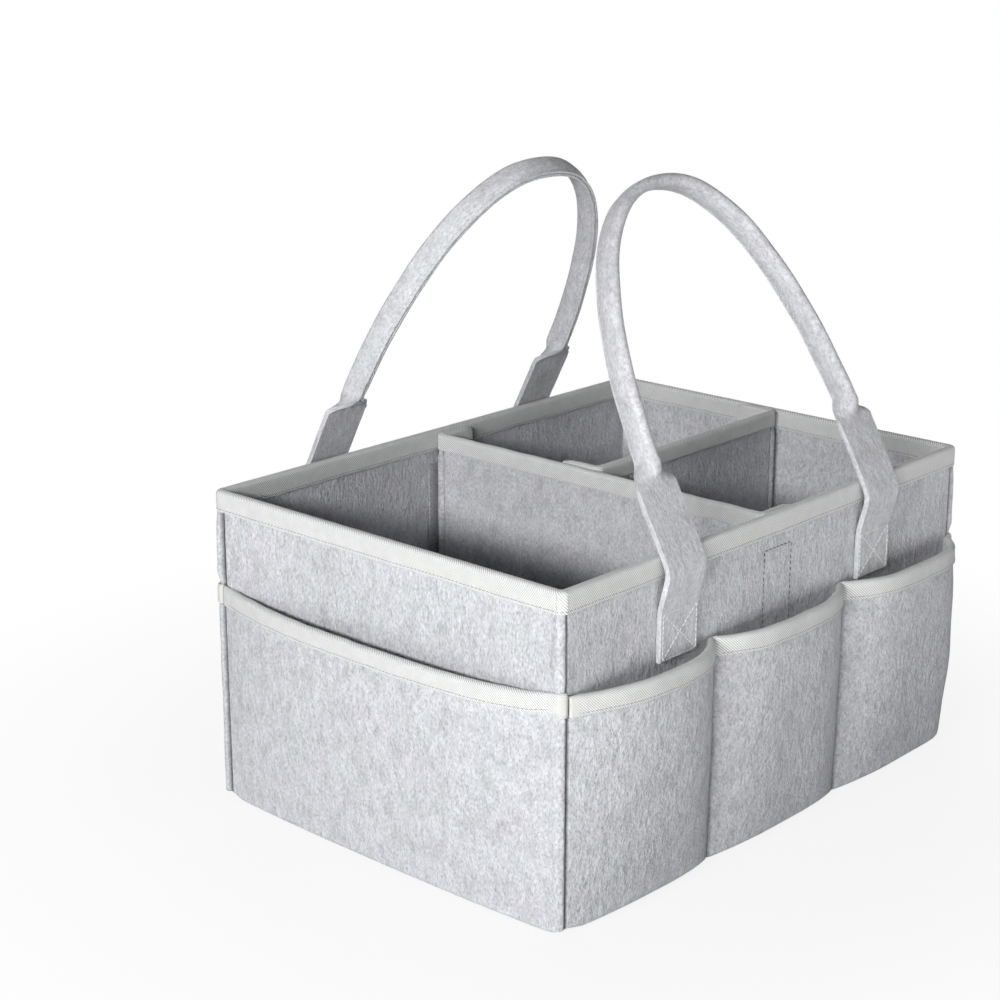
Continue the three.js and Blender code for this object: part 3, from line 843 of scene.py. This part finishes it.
def build_pocket_tape(wall, number, seam):
    path = wall.path
    foot, bend = MOUTH - POCKET_TAPE_DEPTH, MOUTH - EDGE_BEND

    def place(s, t):
        z = tape_height(t, foot, bend)
        outer = wall.out(s, z) + TAPE_OFF
        inner = np.maximum(outer - 2 * TAPE_OFF - wall.thick(s, z), TAPE / 2)
        out = (outer + inner) / 2 + (outer - inner) / 2 * np.cos(tape_turn(t))
        x, y = path.at(s, out)
        return np.stack([x, y, z + ripple(s, z, "pocket_tape", number) + wall.lift(s)], -1)

    def thickness(s, t):
        return np.clip(0.25 * wall.out(s, MOUTH + 0 * s), 0.5, TAPE)

    def pressed(s, t):
        """One on the turned end of the tape, and nothing past it."""
        return np.clip((TURNED - np.minimum(s, path.length - s)) / 0.5, 0, 1)

    def wrap(s, t):
        """The end's own layer, over the tape."""
        points = place(s, np.where(t < 0, t * (0.1 + 0.9 * pressed(s, t)), t))
        turn = tape_turn(t)
        x, y = path.at(s, END_CLOTH * np.cos(turn) - 0.7 * rolled_in(path, s))
        flat_x, flat_y = path.at(s, 0 * s)
        return points + np.stack([x - flat_x, y - flat_y, END_CLOTH * np.sin(turn)], -1)

    along = edged(0.4, path.length - 0.4, int(path.length / 4), 0.5, wall.marks())
    binding = Sheet(f"{wall.name}_pocket_tape", place, along, tape_rows(), thickness, grain=tape_grain)
    dress(binding.object, "box", tape, [f"{wall.name}_pocket_binding"])
    for first, last, *_ in wall.pockets:
        s = np.linspace(first + 3, last - 3, 160)
        seam.run(*binding.on(s, 0 * s + 0.19), pitch=2.4, length=2.0, width=0.36, height=0.3)
    fine = np.linspace(3.6, 4.7, 7)
    columns = [*bends(path), *fine, *(path.length - fine)]
    ends = (("start", 0.05, TAPE_END), ("finish", path.length - TAPE_END, path.length - 0.05))
    for side, first, last in ends:
        low = 0.24 if (wall.name, side) == ("left_end", "finish") else 0.03
        rows = tape_rows(TAPE_STEPS[:-1], (-low, 0.015 - low), (2.94, 2.95))
        along = edged(first, last, 8, 0.2, columns)
        end = Sheet(f"{wall.name}_tape_{side}", wrap, along, rows, END_CLOTH,
                    grain=tape_grain, sewn=pressed)
        dress(end.object, "box", tape)


def build_pockets():
    seam = Thread("pocket_stitches")
    for number, wall in enumerate(WALLS):
        build_pocket(wall, number)
        build_pocket_tape(wall, number, seam)
    seam.make("box", thread)


# Handles

LEAN = math.radians(28)
HINGE_OUT = 4.2903
HINGE_Z = 181.6432
STRAP = 3.0
STRAP_HALF = 14.0
LEG_WIDER = 0.045
SPAN = 88.0  # from the middle of a strap to a leg
RISE = 185.6  # height of the arch above the fold at the rim
ARCH_FOOT = 16.0  # where the leg starts to curve, above that fold
ARCH_HEIGHT = RISE - ARCH_FOOT
ARCH_POWER = 2 / 2.23
ARCH_SHIFT = -0.6
FLAT_LEG = 34.0  # length of the leg above that fold which stays flat
NECK = 14.0  # length over which the strap folds double
CREASE = 1.85 * math.pi / 2
TAB_FOOT = 124.0
TAB_OUT = 1.9  # from the wall's face to the middle of the sewn strap
TAB_BEND = 150.5  # height where the strap starts to leave the wall
FOLD_START = 9.8  # length below the fold where the leg is straight
SOFT_STEP = 0.5
SOFTNESS = 3.2  # over which the strap's bends are eased
FRONT_SWAY = -0.0265
BACK_SWAY = 0.0245
MIRROR = [-1, 1, 1, 1, 1]
UP_LEG = np.array([-math.sin(LEAN), math.cos(LEAN)])
OUT_LEG = np.array([math.cos(LEAN), math.sin(LEAN)])
FOLD = np.array([HINGE_OUT, HINGE_Z]) - OUT_LEG * STRAP / 2


def leg_profile():
    """The strap's middle layer from its sewn end up past the fold at the rim: (outward, height)."""
    sewn = [[TAB_OUT, TAB_FOOT - 12], [TAB_OUT, TAB_BEND]]
    knots = np.array([*sewn, FOLD - UP_LEG * FOLD_START, FOLD + UP_LEG * 14])
    spots = []
    for p, q in zip(knots[:-1], knots[1:]):
        number = int(np.linalg.norm(q - p) / SOFT_STEP)
        spots.append(p + (q - p) * np.linspace(0, 1, number, endpoint=False)[:, None])
    line = np.concatenate(spots)
    weights = np.exp(-(np.arange(-16, 17) * SOFT_STEP / SOFTNESS) ** 2 / 2)
    weights /= weights.sum()
    soft = np.stack([np.convolve(line[:, c], weights, "same") for c in range(2)], -1)
    keep = (soft[:, 1] > TAB_FOOT) & ((soft - FOLD) @ UP_LEG < 4.0) & (np.arange(len(line)) < len(line) - 17)
    return soft[keep][::4]


def arch_line(sway):
    """The strap from tab to tab. A station is (x, outward, height, length above the fold, share folded)."""
    profile = leg_profile()
    leg = [[SPAN, *spot, (spot - FOLD) @ UP_LEG, 0.0] for spot in profile]
    flat = np.arange((profile[-1] - FOLD) @ UP_LEG + 3, FLAT_LEG - 1, 3)
    for s in np.concatenate([flat, FLAT_LEG + np.linspace(0, 1, 15) * NECK]):
        share = max(s - ARCH_FOOT, 0) / ARCH_HEIGHT
        x = SPAN * math.cos(math.asin(share ** (1 / ARCH_POWER))) ** ARCH_POWER
        leg.append([x, *(FOLD + UP_LEG * s), s, np.clip((s - FLAT_LEG) / NECK, 0, 1)])
    begin = math.asin(((FLAT_LEG + NECK - ARCH_FOOT) / ARCH_HEIGHT) ** (1 / ARCH_POWER))
    arch = []
    for angle in np.linspace(begin, math.pi - begin, 74)[1:-1]:
        c, n = math.cos(angle), math.sin(angle)
        s = ARCH_FOOT + ARCH_HEIGHT * n ** ARCH_POWER
        arch.append([SPAN * np.sign(c) * abs(c) ** ARCH_POWER, *(FOLD + UP_LEG * s), s, 1.0])
    line = np.concatenate([np.array(leg + arch), np.array(leg)[::-1] * MIRROR]) * MIRROR
    line[:, 0] += ARCH_SHIFT + sway * np.maximum(line[:, 3], 0)
    return line


def fold_section(u, folded):
    """The strap's section: (towards the arch's middle, outward), for places u across it."""
    turn = folded * folded * (3 - 2 * folded) * math.pi / 2
    side, far = np.sign(u), np.abs(u)
    bent = np.minimum(far, CREASE)
    angle = turn * bent / CREASE
    chord = np.where(angle > 1e-6, 2 * bent * np.sin(angle / 2) / np.maximum(angle, 1e-6), bent)
    x = chord * np.cos(angle / 2) + (far - bent) * np.cos(angle)
    y = -chord * np.sin(angle / 2) - (far - bent) * np.sin(angle)
    edge = 2 * CREASE * np.sin(turn / 2) ** 2 / np.maximum(turn, 1e-6) + (STRAP_HALF - CREASE) * np.sin(turn)
    middle = (STRAP / 2 - edge - STRAP / 2 * np.cos(turn)) / 2
    return side * x, y - middle


class Handle:
    """One strap, front or back: the back one is the front one turned half round."""

    def __init__(self, turned, sway, number):
        self.turned, self.number = turned, number
        line = arch_line(sway)
        spots = np.stack([line[:, 0], -HALF_Y - line[:, 1], line[:, 2]], -1)
        self.far = run_lengths(spots)
        self.length = self.far[-1]
        self.above, self.folded = line[:, 3], line[:, 4]
        along = unit(np.gradient(spots, axis=0))
        across = np.array([1.0, 0, 0]) * np.ones((len(spots), 1))
        out = np.array([0, -math.cos(LEAN), math.sin(LEAN)])
        free = self.above > 4
        across[free] = unit(np.cross(along[free], np.broadcast_to(out, along[free].shape)))
        across[~free] *= -np.sign(line[~free, 0])[:, None]
        self.axes = [spots, across, unit(np.cross(across, along))]

    def share_folded(self, v):
        return np.interp(v, self.far, self.folded)

    def pinch(self, u, v):
        """How far the two layers of the grip are drawn together by the seam near their raw edges."""
        near = np.clip((np.abs(u) - 7.5) / 6.0, 0, 1)
        return near * near * (3 - 2 * near) * np.clip(self.share_folded(v), 0, 1)

    def thick(self, u, v):
        return STRAP - 0.05 - 1.5 * self.pinch(u, v)

    def place(self, u, v):
        v = np.clip(v, 0, self.length)
        spot, across, normal = (
            np.stack([np.interp(v, self.far, axis[:, k]) for k in range(3)], -1) for axis in self.axes)
        folded = self.share_folded(v)
        grip = np.clip(folded, 0, 1)
        x, y = fold_section(u * (1 + LEG_WIDER - LEG_WIDER * grip), folded)
        neck = bell(np.interp(v, self.far, self.above) - FLAT_LEG - 6, 9)
        wave = ripple(u, v, "grip", self.number) * grip + neck * ripple(u, v, "neck", self.number)
        x = x * (1 - 0.52 * self.pinch(u, v)) + neck * ripple(u, v, "neck_side", self.number)
        point = spot + across * x[..., None] + normal * (y + wave)[..., None]
        return point * [-1, -1, 1] if self.turned else point


def build_handle(name, turned, sway, number):
    handle = Handle(turned, sway, number)
    crease = np.linspace(-CREASE, CREASE, 15)
    rims = STRAP_HALF + 0.15 - np.array([0.12, 0.35, 0.8])
    across = edged(-STRAP_HALF - 0.3, STRAP_HALF + 0.3, 13, 0.15, [*crease, *rims, *-rims])
    along = edged(0, handle.length, 2, 0.35, handle.far[1:-1])
    strap = Sheet(f"{name}_handle_felt", handle.place, across, along, handle.thick)
    dress(strap.object, None, strap_felt,
          [f"{name}_handle_strap", f"{name}_left_tab", f"{name}_right_tab"])
    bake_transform(strap.object)
    build_grip_stitches(name, handle, strap)
    build_tab_stitches(name, handle, strap)


def build_grip_stitches(name, handle, strap):
    seam = Thread(f"{name}_grip_stitches")
    start = handle.far[np.argmax(handle.folded > 0.9)] + 4
    v = np.linspace(start, handle.length - start, 260)
    for edge in (-1, 1):
        seam.run(*strap.on(0 * v + edge * (STRAP_HALF - 1.6), v), width=0.45, height=0.3, lift=-0.02)
    seam.make(f"{name}_handle", pale_thread)


def build_tab_stitches(name, handle, strap):
    """The box and cross on each sewn end."""
    seam = Thread(f"{name}_tab_stitches")
    left, right, inset, reach = -12.6, 13.2, 1.3, 26.0
    t = np.linspace(0, 1, 30)
    for low, high in ((inset, reach), (handle.length - reach, handle.length - inset)):
        corners = [(left, low), (right, low), (right, high), (left, high)]
        for first, last in ((0, 1), (1, 2), (2, 3), (3, 0), (0, 2), (1, 3)):
            (u0, v0), (u1, v1) = corners[first], corners[last]
            line = strap.on(u0 + (u1 - u0) * t, v0 + (v1 - v0) * t)
            seam.run(*line, pitch=2.6, length=2.2, width=0.5, height=0.45)
    seam.make("box", white_thread)


# Dividers

DIVIDER_TOP = 179.0
DIVIDER_FOOT = 9.0
FLANGE = 27.0
BEND = 2.5
GROOVE = 27.6  # from a flange's tip to the stitched groove beside its fold
TIP_ROUND = 2.8
DIVIDER_TAPE_DEPTH = 10.0
DIVIDER_TAPE_OUT = 2.2  # from the middle of the felt to the middle of the tape
CROSS_MIDDLE = (-6.0, 0.0)
CROSS_HALF = 119.3
LONG_MIDDLE = (83.75, 0.0)
LONG_HALF = 85.55
LONG_RISE = 1.8  # how much higher the long divider is than the cross divider, at its right end


class DividerLine:
    """A divider seen from above, from one flange's tip to the other's, with its back as the outside.

    The sheet runs along y with both flanges towards +x, or along x where it is turned.
    """

    def __init__(self, half, middle, turned):
        tip, end = FLANGE - FELT / 2, half - FELT / 2
        parts = [
            (tip, -end, BEND, -end),
            (BEND, -end + BEND, BEND, 270, 180),
            (0, -end + BEND, 0, end - BEND),
            (BEND, end - BEND, BEND, 180, 90),
            (BEND, end, tip, end),
        ]
        spots, normals = [], []
        for part in parts:
            if len(part) == 4:
                p, q = np.array(part[:2], float), np.array(part[2:], float)
                number = max(int(np.linalg.norm(q - p) / 2), 2)
                spots.append(p + (q - p) * np.linspace(0, 1, number, endpoint=False)[:, None])
                d = (q - p) / np.linalg.norm(q - p)
                normals.append(np.tile([-d[1], d[0]], (number, 1)))
            else:
                cx, cy, r, first, last = part
                angle = np.radians(np.linspace(first, last, 9, endpoint=False))
                spots.append(np.stack([cx + r * np.cos(angle), cy + r * np.sin(angle)], -1))
                normals.append(np.stack([np.cos(angle), np.sin(angle)], -1))
        spots.append(np.array([parts[-1][2:]], float))
        normals.append(normals[-1][-1:])
        spots, normals = np.concatenate(spots), np.concatenate(normals)
        if turned:
            spots, normals = (np.stack([-a[:, 1], a[:, 0]], -1) for a in (spots, normals))
        self.spots, self.normals = spots + np.array(middle), normals
        self.far = run_lengths(spots)
        self.length = self.far[-1]

    def at(self, s, out):
        x, y, nx, ny = (np.interp(s, self.far, c) for c in (*self.spots.T, *self.normals.T))
        size = np.maximum(np.hypot(nx, ny), 1e-9)
        return x + nx / size * out, y + ny / size * out

    def from_tip(self, s):
        return np.minimum(s, self.length - s)


def build_divider(name, middle, half, turned, number, strips, rise_up):
    line = DividerLine(half, middle, turned)
    crest = DIVIDER_TOP + rise_up
    top = crest - 1.2
    foot, bend = crest - DIVIDER_TAPE_DEPTH, crest - EDGE_BEND

    def drop(s):
        """The flange tips have round top corners, and half of the raised top runs out along the sheet."""
        near = np.clip(1 - line.from_tip(s) / TIP_ROUND, 0, 1)
        return TIP_ROUND * (1 - np.sqrt(1 - near * near)) + 0.5 * rise_up * s / line.length

    def waves(s, z):
        return ripple(s, z, "divider", number) * np.clip((line.from_tip(s) - FLANGE) / 40, 0, 1)

    def place(s, z):
        past = line.from_tip(s) - GROOVE
        ridge = 1.2 * bell(past + 2.5, 1.3) - 0.8 * bell(past - 0.3, 0.6)
        out = waves(s, z) * np.clip((top - z) / 30, 0.15, 1) + ridge * np.clip((foot - z) / 2, 0, 1)
        x, y = line.at(s, out)
        share = (z - DIVIDER_FOOT) / (top - DIVIDER_FOOT)
        return np.stack([x, y, z - drop(s) * share ** 6], -1)

    # Painted shade: a dark line on the face beside the stitched groove of each fold, and one on the fold's
    # far side for the shadow in its gap at the wall.
    def sewn(s, z):
        past = line.from_tip(s) - GROOVE
        return 0.95 * bell(past - 0.6, 0.7) + 0.9 * bell(past + 3.8, 0.7)

    def tape_place(s, t):
        x, y = line.at(s, DIVIDER_TAPE_OUT * np.cos(tape_turn(t)) + waves(s, crest - 8 + 0 * s) * 0.2)
        z = tape_height(t, foot, bend)
        return np.stack([x, y, z - drop(s) + ripple(s, z, "divider_tape", number)], -1)

    turns = GROOVE + np.linspace(-5.5, 3.5, 25)
    extra = [*turns, *(line.length - turns)]
    along = edged(0, line.length, int(line.length / 6), 1.45, extra)
    up = edged(DIVIDER_FOOT, top, 26, 1.45, end_rounding=1.2)
    felt_sheet = Sheet(f"{name}_felt", place, along, up, CLOTH, sewn=sewn)
    dress(felt_sheet.object, name, felt, [name])
    along = edged(0, line.length, int(line.length / 5), 0.45, extra)
    binding = Sheet(f"{name}_tape", tape_place, along, tape_rows(), TAPE, grain=tape_grain)
    dress(binding.object, name, tape, [f"{name}_binding"])
    seam = Thread(f"{name}_stitches")
    s = np.linspace(1.5, line.length - 1.5, 400)
    for t in (0.16, 2.84):
        seam.run(*binding.on(s, 0 * s + t), width=0.42, height=0.36)
    seam.make(name, thread)
    for place_name in strips:
        build_strip(f"{name}_{place_name}", name)


# Fastening strips

def build_strip(node, body):
    """A fastening strip, laid on the face that its solid lies on."""
    low, high = (np.array(v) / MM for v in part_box(node))
    size, middle = high - low, (high + low) / 2
    flat = int(np.argmin(size))
    wide = 1 - flat

    def place(a, z):
        point = [None, None, z + 0 * a]
        point[wide] = middle[wide] + a * (1 if flat == 1 else -1)
        point[flat] = middle[flat] + ripple(a, z, "strip")
        return np.stack(point, -1)

    along = edged(-size[wide] / 2, size[wide] / 2, 9, 0.4)
    made = Sheet(f"{node}_cloth", place, along, edged(low[2], high[2], 30, 0.4), size[flat] - 0.2)
    dress(made.object, body, strip, [node])


def build_hook_stitches():
    """Dark stitches of the hook strip, which show outside the front and back walls."""
    seam = Thread("hook_strip_stitches")
    t = np.linspace(0, 1, 40)
    left, right, high, low = -12.6, 11.4, 160.4, 24.0
    for sign in (-1, 1):
        normals = np.tile([0.0, sign, 0.0], (len(t), 1))
        for x0, z0, x1, z1 in ((left, low, left, high), (left, high, right, high), (right, high, right, low)):
            x, z = x0 + (x1 - x0) * t, z0 + (z1 - z0) * t
            points = np.stack([x, 0 * x + sign * (HALF_Y + 0.05), z], -1)
            seam.run(points, normals, pitch=3.4, length=2.4, width=0.5, height=0.4)
    seam.make("box", grey_thread)


# Stage

def math_node(tree, operation, a, b):
    node = add_node(tree, "ShaderNodeMath", {0: a, 1: b})
    node.operation = operation
    return node.outputs[0]


def seen_ray(tree):
    """One for the rays that show the background: from the camera, mirrored or passed through."""
    rays = tree.nodes.new("ShaderNodeLightPath").outputs
    seen = math_node(tree, "MAXIMUM", rays["Is Camera Ray"], rays["Is Glossy Ray"])
    return math_node(tree, "MAXIMUM", seen, rays["Is Transmission Ray"])


def show_white(tree, share, shader, white, output):
    """Gives the output the shader, and white in its place for a share of the rays."""
    inputs = {"Fac": share, 1: shader.outputs[0], 2: white.outputs[0]}
    mix = add_node(tree, "ShaderNodeMixShader", inputs)
    fill(tree.nodes[output], {"Surface": mix.outputs[0]})


def build_stage():
    """A floor that looks white from the camera, and keeps part of the object's shadow close to it."""
    size, drop = 6000.0, 0.5
    corners = ((-1, -1), (1, -1), (1, 1), (-1, 1))
    points = np.array([(x * size, y * size, -drop) for x, y in corners])
    floor = new_object("floor", points, [(0, 1, 2, 3)])
    material, tree = new_material("floor")
    shader = fill(tree.nodes["Principled BSDF"],
                  {"Base Color": (0.8, 0.8, 0.8, 1), "Roughness": 1.0, "Specular IOR Level": 0.0})
    white = add_node(tree, "ShaderNodeEmission", {"Strength": 1.0})
    far = add_node(tree, "ShaderNodeVectorMath", {0: tree.nodes.new("ShaderNodeTexCoord").outputs["Object"]})
    far.operation = "LENGTH"
    share = add_node(tree, "ShaderNodeMapRange",
                     {"Value": far.outputs["Value"], "From Min": 0.15, "From Max": 0.5, "To Min": 0.85})
    share.interpolation_type = "SMOOTHSTEP"
    both = math_node(tree, "MULTIPLY", share.outputs["Result"], seen_ray(tree))
    show_white(tree, both, shader, white, "Material Output")
    floor.data.materials.append(material)


def lamp(name, spot, aim, size, power):
    """A soft area lamp. Places and sizes are in metres, the power in watts."""
    data = bpy.data.lights.new(name, "AREA")
    data.shape = "RECTANGLE"
    data.size, data.size_y = size
    data.energy = power
    made = bpy.data.objects.new(name, data)
    made.location = spot
    made.rotation_euler = (Vector(aim) - Vector(spot)).to_track_quat("-Z", "Y").to_euler()
    made.visible_camera = False
    bpy.context.scene.collection.objects.link(made)


def build_light():
    world = bpy.data.worlds.new("studio")
    bpy.context.scene.world = world
    world.use_nodes = True
    tree = world.node_tree
    soft = fill(tree.nodes["Background"], {"Color": (0.97, 0.98, 1.0, 1), "Strength": 0.02})
    white = add_node(tree, "ShaderNodeBackground", {"Color": (1, 1, 1, 1), "Strength": 1.0})
    show_white(tree, seen_ray(tree), soft, white, "World Output")
    lamp("key", (-1.87, -0.55, 0.77), (0, 0, 0.1), (1.2, 0.22), 37.5)
    lamp("front", (-1.3, -1.75, 0.20), (0, 0, 0.12), (1.4, 0.3), 11)
    lamp("floor_glow", (-0.25, -0.95, 0.02), (-0.25, -0.95, 1.0), (1.8, 1.2), 7)
    lamp("top", (0.1, -0.2, 2.0), (0, 0, 0.1), (1.6, 1.6), 4.0)
    lamp("back", (1.5, 1.45, 0.5), (0, 0, 0.12), (1.6, 0.6), 26)


def build_camera():
    """The photograph's view: the camera's place in metres, its heading from +y and its tilt down."""
    data = bpy.data.cameras.new("camera")
    data.sensor_width = 36.0
    data.lens = 78.96
    camera = bpy.data.objects.new("camera", data)
    camera.location = (-0.9132, -0.7614, 0.5236)
    heading, tilt = math.radians(47.512), math.radians(17.016)
    level = math.cos(tilt)
    forward = Vector((math.sin(heading) * level, math.cos(heading) * level, -math.sin(tilt)))
    right = Vector((math.cos(heading), -math.sin(heading), 0))
    matrix = camera.matrix_world.to_3x3()
    matrix.col[0], matrix.col[1], matrix.col[2] = right, right.cross(forward), -forward
    camera.rotation_euler = matrix.to_euler()
    bpy.context.scene.collection.objects.link(camera)
    bpy.context.scene.camera = camera


build_base()
build_walls()
build_corner_seams()
build_rim()
build_pockets()
build_handle("front", False, FRONT_SWAY, 0)
build_handle("back", True, BACK_SWAY, 1)
build_divider("cross_divider", CROSS_MIDDLE, CROSS_HALF, False, 0,
              ["front_loop_strip", "back_loop_strip", "hook_strip"], 0.0)
build_divider("long_divider", LONG_MIDDLE, LONG_HALF, True, 1,
              ["left_loop_strip", "right_loop_strip"], LONG_RISE)
for hook in ("front_wall_hook_strip", "back_wall_hook_strip", "right_wall_hook_strip"):
    build_strip(hook, "box")
build_hook_stitches()
build_stage()
build_light()
build_camera()
bpy.context.scene.view_settings.view_transform = "Standard"
